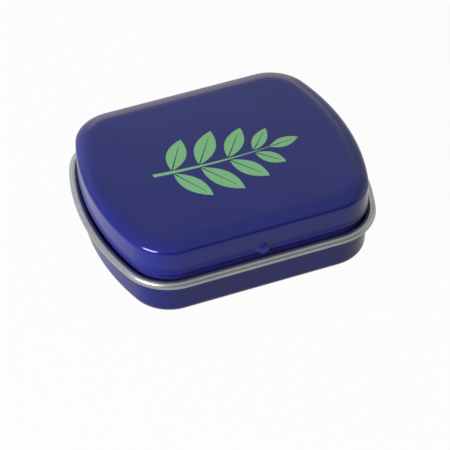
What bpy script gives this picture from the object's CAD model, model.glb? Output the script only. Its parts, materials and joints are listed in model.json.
import json
from math import acos, cos, pi, radians, sin, sqrt

import bmesh
import bpy
from mathutils import Matrix, Vector


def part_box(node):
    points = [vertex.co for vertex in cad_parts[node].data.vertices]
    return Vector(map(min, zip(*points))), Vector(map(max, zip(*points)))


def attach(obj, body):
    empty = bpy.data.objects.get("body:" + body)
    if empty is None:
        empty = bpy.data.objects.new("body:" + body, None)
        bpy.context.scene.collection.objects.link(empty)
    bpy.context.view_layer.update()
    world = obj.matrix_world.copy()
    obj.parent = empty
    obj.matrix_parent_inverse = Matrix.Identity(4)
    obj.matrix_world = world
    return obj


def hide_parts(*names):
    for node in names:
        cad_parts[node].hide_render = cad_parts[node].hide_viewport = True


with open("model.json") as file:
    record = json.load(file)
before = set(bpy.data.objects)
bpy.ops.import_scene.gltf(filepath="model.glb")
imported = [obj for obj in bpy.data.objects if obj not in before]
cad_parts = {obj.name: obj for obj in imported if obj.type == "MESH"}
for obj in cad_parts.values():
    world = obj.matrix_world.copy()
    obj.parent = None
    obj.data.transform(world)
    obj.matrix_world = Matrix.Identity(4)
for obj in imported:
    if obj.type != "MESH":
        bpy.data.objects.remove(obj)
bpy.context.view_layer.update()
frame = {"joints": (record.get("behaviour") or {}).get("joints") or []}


# Base
# A pan drawn from tinplate that is enamelled blue on its outer side only. Its
# foot is rounded, its top edge is rolled outward into the bare rim, and two
# windows cut under the rim let the lid's hinge tabs through.
sheet = 0.00025
rim_radius = 0.00095
rim_oval = 0.9
rim_slit = 0.0003
rim_middle = rim_radius - sheet
corner_radius = 0.0092
end_radius = 0.0520
foot_radius = 0.0017
wall_draft = 0.0004

# The plan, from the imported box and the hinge's axis
hinge = frame["joints"][0]["pos_m"]
base_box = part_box("base")
rim_height = hinge[2]
half_width = hinge[1] - rim_middle
half_length = base_box[1].x - rim_middle - rim_radius
end_centre = half_length - end_radius
corner_y = half_width - corner_radius
corner_reach = sqrt((end_radius - corner_radius) ** 2 - corner_y ** 2)
corner_x = end_centre + corner_reach

# Room for the lid's two tabs
tab_half = 0.0025
tab_play = 0.0004
notch_play = 0.0005
window_play = 0.00035
corner_margin = 0.0013
tab_radius = rim_radius + tab_play
notch_half = tab_half + notch_play
window_half = tab_half + window_play
hinge_spread = corner_x - corner_margin - notch_half
window_high = rim_height - sqrt(tab_radius ** 2 - rim_radius ** 2) + window_play
window_low = rim_height - sqrt((tab_radius + sheet) ** 2 - rim_middle ** 2) - window_play

# Fineness of the mesh
plan_step = 0.0007
fine_step = plan_step / 6
wall_step = 0.0014
rim_steps = 40
foot_steps = 16


def spaced(start, stop, step):
    """Places from start to stop, start left out, about one step apart."""
    count = max(1, round(abs(stop - start) / step))
    return [start + (stop - start) * i / count for i in range(1, count + 1)]


def tin_plan(back_marks, fine_half):
    """The line that both pans are swept round: long straight sides, round corners, bowed ends.

    There is a point at each back mark, and the points are close along the middle of the front.
    """
    meet = acos(corner_reach / (end_radius - corner_radius))
    quarter = [(end_centre + end_radius * cos(a), end_radius * sin(a))
               for a in [0.0] + spaced(0.0, meet, plan_step / end_radius)]
    quarter += [(corner_x + corner_radius * cos(a), corner_y + corner_radius * sin(a))
                for a in spaced(meet, pi / 2, plan_step / corner_radius)]
    back = []
    place = corner_x
    for mark in sorted(back_marks, reverse=True) + [-corner_x]:
        back += [(x, half_width) for x in spaced(place, mark, plan_step)]
        place = mark
    front = [(x, -half_width) for x in spaced(-corner_x, -fine_half, plan_step)]
    front += [(x, -half_width) for x in spaced(-fine_half, fine_half, fine_step)]
    front += [(x, -half_width) for x in spaced(fine_half, corner_x, plan_step)]
    left_back = [(-x, y) for x, y in reversed(quarter[:-1])]
    left_front = [(-x, -y) for x, y in quarter[1:]]
    right_front = [(x, -y) for x, y in reversed(quarter[1:-1])]
    return quarter + back + left_back + left_front + front + right_front


def arc(middle, radius, start, stop, steps):
    """Points (outward, up) along an arc of a section, both ends included."""
    return [(middle[0] + radius * cos(start + (stop - start) * i / steps),
             middle[1] + radius * sin(start + (stop - start) * i / steps))
            for i in range(steps + 1)]


class Graph:
    """One node tree. node() adds any node and gives back one of its outputs."""

    def __init__(self, tree):
        self.tree = tree

    def node(self, kind, settings=None, inputs=None, output=0):
        made = self.tree.nodes.new(kind)
        for name, value in (settings or {}).items():
            setattr(made, name, value)
        for key, value in (inputs or {}).items():
            if isinstance(value, Signal):
                self.tree.links.new(value.socket, made.inputs[key])
            else:
                made.inputs[key].default_value = value
        return Signal(self, made.outputs[output])


class Signal:
    """The output of a node, which takes part in sums as a number does."""

    def __init__(self, graph, socket):
        self.graph = graph
        self.socket = socket

    def maths(self, operation, *values):
        inputs = dict(enumerate(values))
        return self.graph.node("ShaderNodeMath", {"operation": operation}, inputs)

    def __add__(self, other):
        return self.maths("ADD", self, other)

    def __radd__(self, other):
        return self.maths("ADD", other, self)

    def __sub__(self, other):
        return self.maths("SUBTRACT", self, other)

    def __rsub__(self, other):
        return self.maths("SUBTRACT", other, self)

    def __mul__(self, other):
        return self.maths("MULTIPLY", self, other)

    def __rmul__(self, other):
        return self.maths("MULTIPLY", other, self)

    def __truediv__(self, other):
        return self.maths("DIVIDE", self, other)

    def __pow__(self, other):
        return self.maths("POWER", self, other)

    def __abs__(self):
        return self.maths("ABSOLUTE", self)

    def at_least(self, other):
        return self.maths("MAXIMUM", self, other)

    def at_most(self, other):
        return self.maths("MINIMUM", self, other)

    def below(self, other):
        return self.maths("LESS_THAN", self, other)

    def above(self, other):
        return self.maths("GREATER_THAN", self, other)

    def along(self, axis):
        """One of the X, Y and Z parts of a vector."""
        return self.graph.node("ShaderNodeSeparateXYZ", inputs={0: self}, output=axis)

    def fade(self, start, stop):
        """0 up to start, 1 from stop on, smooth between."""
        settings = {"interpolation_type": "SMOOTHSTEP"}
        return self.graph.node("ShaderNodeMapRange", settings,
                               {"Value": self, "From Min": start, "From Max": stop})


def drawn_pan_tree():
    """Sweeps a section round the plan, opens the hinge cuts and presses the thumb bump."""
    tree = bpy.data.node_groups.new("drawn_pan", "GeometryNodeTree")
    face = tree.interface
    face.new_socket("Plan", in_out="INPUT", socket_type="NodeSocketGeometry")
    face.new_socket("Section", in_out="INPUT", socket_type="NodeSocketObject")
    for name in ("Hinge Spread", "Cut Half Width", "Cut Low", "Cut High",
                 "Front Face", "Bump Height", "Bump Radius", "Bump Proud"):
        face.new_socket(name, in_out="INPUT", socket_type="NodeSocketFloat")
    face.new_socket("Finish", in_out="INPUT", socket_type="NodeSocketMaterial")
    face.new_socket("Pan", in_out="OUTPUT", socket_type="NodeSocketGeometry")
    graph = Graph(tree)
    source = tree.nodes.new("NodeGroupInput")
    given = {socket.name: Signal(graph, socket) for socket in source.outputs if socket.name}

    plan = graph.node("GeometryNodeMeshToCurve", inputs={0: given["Plan"]})
    plan = graph.node("GeometryNodeSetCurveNormal", {"mode": "Z_UP"}, {0: plan})
    section = graph.node("GeometryNodeObjectInfo", inputs={"Object": given["Section"]}, output="Geometry")
    section = graph.node("GeometryNodeMeshToCurve", inputs={0: section})
    swept = graph.node("GeometryNodeCurveToMesh", inputs={"Curve": plan, "Profile Curve": section})

    def place(axis):
        return graph.node("GeometryNodeInputPosition").along(axis)

    beside = abs(abs(place("X")) - given["Hinge Spread"])
    behind = place("Y").above(0.0)
    height = place("Z")
    within = height.above(given["Cut Low"]) * height.below(given["Cut High"])
    cut = beside.below(given["Cut Half Width"]) * behind * within
    opened = graph.node("GeometryNodeDeleteGeometry", {"domain": "FACE"},
                        {"Geometry": swept, "Selection": cut})

    rise = place("Z") - given["Bump Height"]
    share = (place("X") * place("X") + rise * rise) ** 0.5 / given["Bump Radius"]
    dome = (1.0 - share * share).at_least(0.0) ** 0.62
    weight = (1.0 - share).fade(0.0, 0.3) * (1.0 - behind)
    pressed = 0.0 - given["Front Face"] - given["Bump Proud"] * dome
    shift = (pressed - place("Y")).at_most(0.0) * weight * given["Bump Proud"].above(0.0)
    offset = graph.node("ShaderNodeCombineXYZ", inputs={"Y": shift})
    pressed_pan = graph.node("GeometryNodeSetPosition", inputs={"Geometry": opened, "Offset": offset})

    real = graph.node("GeometryNodeRealizeInstances", inputs={0: pressed_pan})
    done = graph.node("GeometryNodeSetMaterial", inputs={"Geometry": real, "Material": given["Finish"]})
    sink = tree.nodes.new("NodeGroupOutput")
    tree.links.new(done.socket, sink.inputs[0])
    return tree


def edge_loop(name, points, closed):
    """A chain of edges, as the plan or the section of a sweep."""
    count = len(points)
    edges = [(i, i + 1) for i in range(count - 1)] + ([(count - 1, 0)] if closed else [])
    data = bpy.data.meshes.new(name)
    data.from_pydata(points, edges, [])
    item = bpy.data.objects.new(name, data)
    bpy.context.scene.collection.objects.link(item)
    return item


def sweep_pan(tree, name, plan, section, sizes, finish):
    """The outer face of a pan as a plain mesh, still open in the middle."""
    path = edge_loop(name + "_plan", [(x, y, 0.0) for x, y in plan], True)
    profile = edge_loop(name + "_section", [(out, -up, 0.0) for out, up in section], False)
    press = path.modifiers.new("drawn_pan", "NODES")
    press.node_group = tree
    values = {"Section": profile, "Finish": finish, **sizes}
    for socket in tree.interface.items_tree:
        if socket.in_out == "INPUT" and socket.name in values:
            press[socket.identifier] = values[socket.name]
    bpy.context.view_layer.update()
    view = bpy.context.evaluated_depsgraph_get()
    mesh = bpy.data.meshes.new_from_object(path.evaluated_get(view))
    bpy.data.objects.remove(path)
    bpy.data.objects.remove(profile)
    return mesh


def close_panel(work, height, rings, rise_to, faces_up):
    """Closes the open middle at one height, with rings that rise towards the middle."""
    loop = [v for v in work.verts if v.is_boundary and abs(v.co.z - height) < 1e-6]
    edge = {v: [e.other_vert(v) for e in v.link_edges if e.is_boundary] for v in loop}
    chain = [loop[0]]
    while len(chain) < len(loop):
        steps = [v for v in edge[chain[-1]] if v not in chain[-2:]]
        chain.append(steps[0])
    turn = sum(a.co.x * b.co.y - b.co.x * a.co.y for a, b in zip(chain, chain[1:]))
    if (turn > 0.0) != faces_up:
        chain.reverse()
    edge_points = [v.co.copy() for v in chain]
    outer = chain
    for i in range(1, rings + 1):
        share = 1.0 - (i / (rings + 1)) ** 1.5
        rise = rise_to * (1.0 - share ** 2)
        inner = [work.verts.new((p.x * share, p.y * share, height + rise)) for p in edge_points]
        for k in range(len(inner)):
            n = (k + 1) % len(inner)
            work.faces.new((outer[k], outer[n], inner[n], inner[k]))
        outer = inner
    work.faces.new(outer)


def finish_pan(name, mesh, work, finishes):
    """Gives the outer face its thickness, with the bare side inside."""
    work.to_mesh(mesh)
    work.free()
    mesh.name = name
    mesh.materials.clear()
    for finish in finishes:
        mesh.materials.append(finish)
    mesh.shade_smooth()
    piece = bpy.data.objects.new(name, mesh)
    bpy.context.scene.collection.objects.link(piece)
    wall = piece.modifiers.new("sheet", "SOLIDIFY")
    wall.thickness = sheet
    wall.offset = -1.0
    wall.use_even_offset = True
    wall.use_quality_normals = True
    wall.material_offset = 1
    wall.material_offset_rim = 1
    return piece


def finish_graph(name):
    """A new material, its graph and its Principled shader."""
    material = bpy.data.materials.new(name)
    material.use_nodes = True
    shader = material.node_tree.nodes["Principled BSDF"]
    return material, Graph(material.node_tree), shader


def feed(graph, shader, look):
    """Links the signals of a look to the shader's sockets of those names."""
    for name, signal in look.items():
        graph.tree.links.new(signal.socket, shader.inputs[name])


def mix_colours(graph, factor, first, second):
    return graph.node("ShaderNodeMix", {"data_type": "RGBA"},
                      {"Factor": factor, "A": first, "B": second}, output="Result")


enamel_blue = (0.0068, 0.0108, 0.145)
enamel_coat = 0.45
cloud_shades = (1.07, 0.93)


def enamel(name, shade, treat=None):
    """Satin blue enamel with a fine orange peel. treat changes the look where the paint is worked."""
    material, graph, shader = finish_graph(name)
    shader.inputs["Specular IOR Level"].default_value = 0.18
    shader.inputs["Coat Roughness"].default_value = 0.08
    shader.inputs["Coat Weight"].default_value = enamel_coat
    here = graph.node("ShaderNodeTexCoord", output="Object")
    cloud = graph.node("ShaderNodeTexNoise", inputs={"Vector": here, "Scale": 90.0, "Detail": 3.0})
    paler, deeper = [tuple(shade * share * part for part in enamel_blue) + (1.0,) for share in cloud_shades]
    peel = graph.node("ShaderNodeTexNoise", inputs={"Vector": here, "Scale": 2600.0, "Detail": 2.0})
    relief = graph.node("ShaderNodeBump", inputs={"Strength": 0.05, "Distance": 0.00004, "Height": peel},
                        output="Normal")
    look = {"Base Color": mix_colours(graph, cloud.fade(0.25, 0.75), deeper, paler),
            "Roughness": 0.14 + 0.05 * cloud,
            "Metallic": 0.14 + 0.08 * cloud,
            "Normal": relief}
    if treat:
        treat(graph, here, look)
    feed(graph, shader, look)
    return material


tin_dull = (0.355, 0.367, 0.38, 1.0)
tin_bright = (0.40, 0.413, 0.427, 1.0)


def bare_tin():
    """Bare tinplate, with the fine lines that rolling leaves and a slight cloudiness."""
    material, graph, shader = finish_graph("bare_tinplate")
    here = graph.node("ShaderNodeTexCoord", output="Object")
    stretched = graph.node("ShaderNodeMapping", inputs={"Vector": here, "Scale": (300.0, 9000.0, 9000.0)})
    lines = graph.node("ShaderNodeTexNoise", inputs={"Vector": stretched, "Scale": 1.0, "Detail": 3.0})
    cloud = graph.node("ShaderNodeTexNoise", inputs={"Vector": here, "Scale": 260.0, "Detail": 3.0})
    relief = graph.node("ShaderNodeBump", inputs={"Strength": 0.08, "Distance": 0.00002, "Height": lines},
                        output="Normal")
    feed(graph, shader, {"Base Color": mix_colours(graph, cloud.fade(0.3, 0.7), tin_dull, tin_bright),
                         "Roughness": 0.26 + 0.08 * cloud,
                         "Metallic": 0.8 + 0.1 * cloud,
                         "Normal": relief})
    return material


pan_tree = drawn_pan_tree()
base_enamel = enamel("blue_enamel_base", shade=0.74)
rim_tin = bare_tin()

rolled_edge = -(pi - acos((rim_middle - rim_slit) / rim_radius))
base_section = []
for i in range(rim_steps + 1):
    turn = rolled_edge + (pi - rolled_edge) * i / rim_steps
    facing = Vector((-cos(turn), -sin(turn) / rim_oval)).normalized()
    bare = Vector((rim_middle + rim_radius * cos(turn), rim_height + rim_radius * rim_oval * sin(turn)))
    base_section.append(tuple(bare + facing * sheet))
wall_lean = wall_draft / (rim_height - foot_radius)
wall_heights = [window_high, window_low] + spaced(window_low, foot_radius, wall_step)[:-1]
base_section += [(wall_lean * (up - rim_height), up) for up in wall_heights]
base_section += arc((-foot_radius - wall_draft, foot_radius), foot_radius, 0.0, -pi / 2, foot_steps)

window_marks = [side * hinge_spread + edge * window_half for side in (-1, 1) for edge in (-1, 1)]
base_plan = tin_plan(window_marks, fine_half=0.001)
base_sizes = {"Hinge Spread": hinge_spread, "Cut Half Width": window_half,
              "Cut Low": window_low, "Cut High": window_high, "Front Face": half_width,
              "Bump Height": 0.0, "Bump Radius": 1.0, "Bump Proud": 0.0}
base_mesh = sweep_pan(pan_tree, "base", base_plan, base_section, base_sizes, base_enamel)
base_work = bmesh.new()
base_work.from_mesh(base_mesh)
close_panel(base_work, height=0.0, rings=3, rise_to=0.0, faces_up=False)
base_pan = finish_pan("base_pan", base_mesh, base_work, (base_enamel, rim_tin))
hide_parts("base")
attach(base_pan, "base")


# Lid
# A pan drawn from the same sheet: a soft shoulder, an upright wall with a thumb
# bump, a tuck, and a skirt with a rolled-in hem that drops inside the rim.
# Two tabs on the skirt pass through the base's windows and roll round the rim.
shoulder_run = 0.0038
shoulder_drop = 0.0017
shoulder_top = 0.0176
crown = 0.00012
crease_run = 0.00014
crease_rise = 0.000018
crease_margin = 0.00006
panel_margin = 0.00004
tuck_above_rim = 0.0014
tuck_radius = 0.0007
hem_radius = 0.00055
hem_drop = 0.0013
hem_wrap = radians(250)
tab_wrap = radians(215)
tab_tip = radians(35)
tab_tip_share = 0.72
bump_above_rim = 0.0020
bump_radius = 0.0015
bump_proud = 0.00068

# Heights and distances that follow from the base
lid_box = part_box("lid")
rim_top = rim_height + rim_radius * rim_oval
tuck_top = rim_top + tuck_above_rim
bump_height = rim_top + bump_above_rim
skirt = rim_middle - tab_radius
wall_top = shoulder_top - shoulder_drop
panel_height = shoulder_top + crease_rise
crease_foot = -shoulder_run - crease_margin
crease_top = crease_foot - crease_run

# Fineness of the mesh
shoulder_steps = 24
bump_steps = 20
tuck_steps = 9
hem_steps = 22
tab_steps = 44
panel_rings = 12
plain_rows = [0.2, 0.4]

# Where the paint changes: below the tuck's top, above it, round the bump, and under the panel
tuck_paint_low = 0.0012
tuck_paint_high = 0.0006
rub_low = 0.0008
rub_high = 0.0018
bump_rub = 0.0003
print_drop = 0.0006
enamel_in_tuck = (0.022, 0.018, 0.13, 1.0)
print_green = (0.188, 0.466, 0.2, 1.0)


def leaf_sprig(here):
    """A printed sprig along the lid, in millimetres: a stem, four pairs of leaves and a tip leaf."""
    x, y, z = [here.along(axis) * 1000.0 for axis in "XYZ"]
    soft = 0.05
    stem_foot, stem_end, stem_half, stem_taper = -15.0, 11.0, 0.46, 0.016
    tip_foot, tip_length, tip_width = 10.2, 6.6, 2.8
    vein_half, vein_least, vein_end = 0.13, 0.02, 0.82
    stalk = 0.5
    bend = 0.004
    towards_front = 1.8
    side = abs(y - (bend * x * x - towards_front))

    def leaf(t, off, width, vein_start):
        blade = (2.0 * width * t * (1.0 - t) * t.above(0.0) - off).fade(-soft, soft) * t.below(1.0)
        vein = (vein_half * (1.0 - t) + vein_least - off).fade(-soft, soft)
        return blade * (1.0 - vein * t.below(vein_end) * t.above(vein_start))

    stem = (stem_half - stem_taper * (x - stem_foot) - side).fade(-soft, soft)
    ink = stem * x.above(stem_foot) * x.below(stem_end)
    for foot, length, width, tilt in ((-11.2, 10.2, 4.0, 60.0), (-5.4, 11.0, 4.3, 57.0),
                                      (0.8, 9.6, 3.9, 53.0), (6.4, 7.2, 3.0, 47.0)):
        lean = radians(tilt)
        reach = (x - foot) * cos(lean) + side * sin(lean)
        off = abs(side * cos(lean) - (x - foot) * sin(lean))
        ink = ink.at_least(leaf((reach - stalk) / length, off, width, vein_start=-1.0))
    tip = leaf((x - tip_foot) / tip_length, side, tip_width, vein_start=0.05) * x.above(tip_foot)
    on_panel = z.above(1000.0 * (lid_box[1].z - print_drop))
    return ink.at_least(tip) * on_panel


def thumbed_bump(here):
    """1 on the pressed bump at the front, which thumbs keep polished."""
    x, y, z = [here.along(axis) for axis in "XYZ"]
    rise = z - bump_height
    reach = (x * x + rise * rise) ** 0.5
    return (1.0 - reach.fade(bump_radius, bump_radius + bump_rub)) * y.below(0.0)


def lid_paintwork(graph, here, look):
    """The tuck's duller paint, the print, and the low wall that loses some of its coat."""
    height = here.along("Z")
    tucked = 1.0 - height.fade(tuck_top - tuck_paint_low, tuck_top - tuck_paint_high)
    rubbed = 1.0 - height.fade(tuck_top + rub_low, tuck_top + rub_high)
    rubbed = rubbed * (1.0 - thumbed_bump(here))
    ink = leaf_sprig(here)
    painted = mix_colours(graph, tucked, look["Base Color"], enamel_in_tuck)
    look["Base Color"] = mix_colours(graph, ink, painted, print_green)
    look["Roughness"] = look["Roughness"] + 0.25 * ink
    look["Metallic"] = look["Metallic"] * (1.0 - 0.8 * tucked) * (1.0 - ink)
    look["Coat Weight"] = enamel_coat * (1.0 - 0.75 * rubbed)


lid_enamel = enamel("blue_enamel_lid", shade=1.0, treat=lid_paintwork)

lid_section = [(crease_top - panel_margin, panel_height), (crease_top, panel_height),
               (crease_foot, shoulder_top)]
for i in range(shoulder_steps + 1):
    turn = pi / 2 * (1 - i / shoulder_steps)
    lid_section.append((shoulder_run * (cos(turn) - 1), shoulder_top + shoulder_drop * (sin(turn) - 1)))
bump_rows = [plain_rows[-1] + (1.0 - plain_rows[-1]) * i / bump_steps for i in range(1, bump_steps)]
lid_section += [(0.0, wall_top - (wall_top - tuck_top) * share) for share in plain_rows + bump_rows]
swing = acos(1 + skirt / (2 * tuck_radius))
fall = 2 * tuck_radius * sin(swing)
lid_section += arc((-tuck_radius, tuck_top), tuck_radius, 0.0, -swing, tuck_steps)
lid_section += arc((skirt + tuck_radius, tuck_top - fall), tuck_radius, pi - swing, pi, tuck_steps)[1:]
lid_section += [(skirt, rim_height)]
lid_section += arc((skirt - hem_radius, rim_height - hem_drop), hem_radius, 0.0, -hem_wrap, hem_steps)

tab_marks = [side * hinge_spread + edge * half
             for side in (-1, 1) for edge in (-1, 1) for half in (tab_half, notch_half)]
lid_plan = tin_plan(tab_marks, fine_half=0.0022)
lid_sizes = {"Hinge Spread": hinge_spread, "Cut Half Width": notch_half,
             "Cut Low": 0.0, "Cut High": rim_height, "Front Face": half_width,
             "Bump Height": bump_height, "Bump Radius": bump_radius,
             "Bump Proud": bump_proud}
lid_mesh = sweep_pan(pan_tree, "lid", lid_plan, lid_section, lid_sizes, lid_enamel)
lid_work = bmesh.new()
lid_work.from_mesh(lid_mesh)
close_panel(lid_work, panel_height, panel_rings, crown, faces_up=True)


def roll_tab(work, middle):
    """One hinge tab, from the skirt's edge through its window and round the rim."""
    places = [x for x, y in lid_plan if y == half_width and abs(x - middle) < tab_half + 1e-6]
    rows = []
    for i in range(tab_steps + 1):
        turned = tab_wrap * i / tab_steps
        share = 1.0
        if turned > tab_wrap - tab_tip:
            beyond = (turned - tab_wrap + tab_tip) / tab_tip
            share = tab_tip_share + (1.0 - tab_tip_share) * sqrt(max(0.0, 1.0 - beyond ** 2))
        out = half_width + rim_middle + tab_radius * cos(pi + turned)
        up = rim_height + tab_radius * sin(pi + turned)
        rows.append([work.verts.new((middle + (x - middle) * share, out, up)) for x in places])
    for upper, lower in zip(rows, rows[1:]):
        for k in range(len(places) - 1):
            work.faces.new((upper[k], lower[k], lower[k + 1], upper[k + 1]))


for side in (-1, 1):
    roll_tab(lid_work, side * hinge_spread)
bmesh.ops.remove_doubles(lid_work, verts=lid_work.verts, dist=2e-6)
lid_pan = finish_pan("lid_pan", lid_mesh, lid_work, (lid_enamel, rim_tin))
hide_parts("lid")
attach(lid_pan, "lid")


# Floor and backdrop
# A white sheet under the tin. It glows to the camera, so that it stays white,
# with a trace of the tin's shadow. In the tin's shine it is warmer and dimmer,
# most of all close to the tin and far to the left.
plain_white = (1.0, 1.0, 1.0, 1.0)
warm_white = (1.0, 0.985, 0.91, 1.0)
floor_grey = (0.22, 0.22, 0.22, 1.0)
tin_half_x = 0.028
tin_half_y = 0.0235
contact_reach = 0.014

floor_work = bmesh.new()
bmesh.ops.create_grid(floor_work, x_segments=8, y_segments=8, size=2.0)
floor_mesh = bpy.data.meshes.new("floor")
floor_work.to_mesh(floor_mesh)
floor_work.free()
floor = bpy.data.objects.new("floor", floor_mesh)
bpy.context.scene.collection.objects.link(floor)
white, floor_graph, floor_shader = finish_graph("white_floor")
floor_shader.inputs["Base Color"].default_value = floor_grey
floor_shader.inputs["Roughness"].default_value = 0.9
seen = floor_graph.node("ShaderNodeLightPath", output="Is Camera Ray")
mirrored = floor_graph.node("ShaderNodeLightPath", output="Is Glossy Ray")
through = floor_graph.node("ShaderNodeLightPath", output="Is Transmission Ray")
on_floor = floor_graph.node("ShaderNodeTexCoord", output="Object")
across_floor = on_floor.along("X")
into_floor = on_floor.along("Y")
near_left = (1.0 - across_floor.fade(-0.048, -0.026)) * (0.12 + 0.88 * into_floor.fade(-0.014, 0.02))
far_left = 1.0 - across_floor.fade(-0.13, -0.05)
beside_tin = (abs(across_floor) - tin_half_x).at_least(abs(into_floor) - tin_half_y)
contact = 0.78 + 0.22 * beside_tin.fade(0.0, contact_reach)
mirror_glow = (1.4 + 0.15 * near_left - 0.84 * far_left) * contact
glow_strength = 1.0 + mirrored * (mirror_glow - 1.0)
glow_tint = mix_colours(floor_graph, mirrored, plain_white, warm_white)
glow = floor_graph.node("ShaderNodeEmission", inputs={"Color": glow_tint, "Strength": glow_strength})
shown = (seen * 0.97 + mirrored * 0.5 + through * 0.95).at_most(1.0)
lit = Signal(floor_graph, floor_shader.outputs[0])
mixed = floor_graph.node("ShaderNodeMixShader", inputs={0: shown, 1: lit, 2: glow})
floor_graph.tree.links.new(mixed.socket, floor_graph.tree.nodes["Material Output"].inputs["Surface"])
floor_mesh.materials.append(white)


# Light
# A pale tent of cloth, plain white to the camera. The light on the paint and the
# room in its shine are set apart, both dark low in front and warm behind. A small
# box at the left gives the front corner its glint, and a wide one lights the side.
world = bpy.data.worlds.new("studio")
bpy.context.scene.world = world
world.use_nodes = True
room = Graph(world.node_tree)
backdrop = world.node_tree.nodes["Background"]
camera_sees = room.node("ShaderNodeLightPath", output="Is Camera Ray")
glass_sees = room.node("ShaderNodeLightPath", output="Is Transmission Ray")
metal_sees = room.node("ShaderNodeLightPath", output="Is Glossy Ray")
way = room.node("ShaderNodeTexCoord", output="Generated")
way_x, way_y, way_z = [way.along(axis) for axis in "XYZ"]
cool_cloth = (0.96, 1.0, 1.03, 1.0)
warm_wall = (1.0, 0.8, 0.48, 1.0)

leftward = (0.0 - way_x).fade(0.5, 1.0)
rightward = way_x.fade(0.45, 0.9) * (1.0 - abs(way_z - 0.2).fade(0.15, 0.45))
right_front = rightward * (1.0 - way_y.fade(0.1, 0.5))
overhead = way_z.fade(0.68, 0.85)
behind = way_y.fade(-0.2, 0.4)
low_haze = behind * (1.0 - way_z.fade(0.5, 0.72)) * (1.0 - abs(way_x).fade(0.3, 0.7))
in_front = (0.0 - way_y).fade(0.15, 0.6)
dark_front = in_front * (1.0 - abs(way_z - 0.1).fade(0.15, 0.42))
mirrored_front = in_front * (1.0 - abs(way_z - 0.25).fade(0.2, 0.65))
wall_across = abs(way_x - 0.36 * way_y.at_least(0.0))
pale_wall = (1.0 - wall_across.fade(0.18, 0.32)) * behind * (1.0 - way_z.fade(0.49, 0.56))
pale_wall = pale_wall * (0.3 + 0.7 * way_z.fade(0.1, 0.45))

room_light = 0.29 + 0.15 * leftward + 1.7 * rightward + 0.24 * low_haze
room_light = (room_light + 0.3 * pale_wall) * (1.0 - 0.8 * dark_front)
mirrored_room = 0.64 + 0.06 * overhead - 0.12 * leftward + 0.5 * right_front + 0.46 * low_haze
mirrored_room = (mirrored_room + 1.15 * pale_wall) * (1.0 - 0.75 * mirrored_front)
direct = (camera_sees + glass_sees).at_most(1.0)
unseen = room_light + metal_sees * (mirrored_room - room_light)
strength = direct + (1.0 - direct) * unseen
room_tint = mix_colours(room, pale_wall, cool_cloth, warm_wall)
room_tint = mix_colours(room, direct, room_tint, plain_white)
world.node_tree.links.new(room_tint.socket, backdrop.inputs["Color"])
world.node_tree.links.new(strength.socket, backdrop.inputs["Strength"])

lamp_target = Vector((0.0, 0.0, 0.014))


def soft_box(name, azimuth, elevation, distance, width, height, brightness):
    """An area lamp that faces the tin. Azimuth is 0 behind the tin and -90 at its left."""
    data = bpy.data.lights.new(name, "AREA")
    data.shape = "RECTANGLE"
    data.size = width
    data.size_y = height
    data.energy = brightness * pi * width * height
    lamp = bpy.data.objects.new(name, data)
    bpy.context.scene.collection.objects.link(lamp)
    turn = radians(azimuth)
    rise = radians(elevation)
    away = Vector((sin(turn) * cos(rise), cos(turn) * cos(rise), sin(rise)))
    lamp.location = lamp_target + away * distance
    lamp.rotation_euler = (-away).to_track_quat("-Z", "Y").to_euler()
    return lamp


glint_box = soft_box("glint_box", azimuth=-112.0, elevation=38.0, distance=0.45,
                     width=0.22, height=0.12, brightness=22.0)
glint_box.visible_diffuse = False
window_box = soft_box("window_box", azimuth=-107.0, elevation=14.0, distance=0.5,
                      width=0.5, height=0.22, brightness=16.0)
window_box.visible_glossy = False


# Camera
# A long lens from above the front left corner, far enough off that the tin's
# sides stay nearly parallel.
azimuth = radians(-21.236)
elevation = radians(42.111)
roll = radians(-0.793)
distance = 0.5418
pan_right = 0.00073
pan_up = -0.00115
back = Vector((sin(azimuth) * cos(elevation), -cos(azimuth) * cos(elevation), sin(elevation)))
level = Vector((cos(azimuth), sin(azimuth), 0.0))
upright = back.cross(level)
right = level * cos(roll) + upright * sin(roll)
upward = upright * cos(roll) - level * sin(roll)
camera_data = bpy.data.cameras.new("camera")
camera_data.sensor_width = 36.0
camera_data.lens = 208.0
camera_data.clip_start = 0.01
camera = bpy.data.objects.new("camera", camera_data)
bpy.context.scene.collection.objects.link(camera)
turned = Matrix((right, upward, back)).transposed().to_4x4()
turned.translation = back * distance + right * pan_right + upward * pan_up
camera.matrix_world = turned
bpy.context.scene.camera = camera
bpy.context.scene.view_settings.view_transform = "Standard"
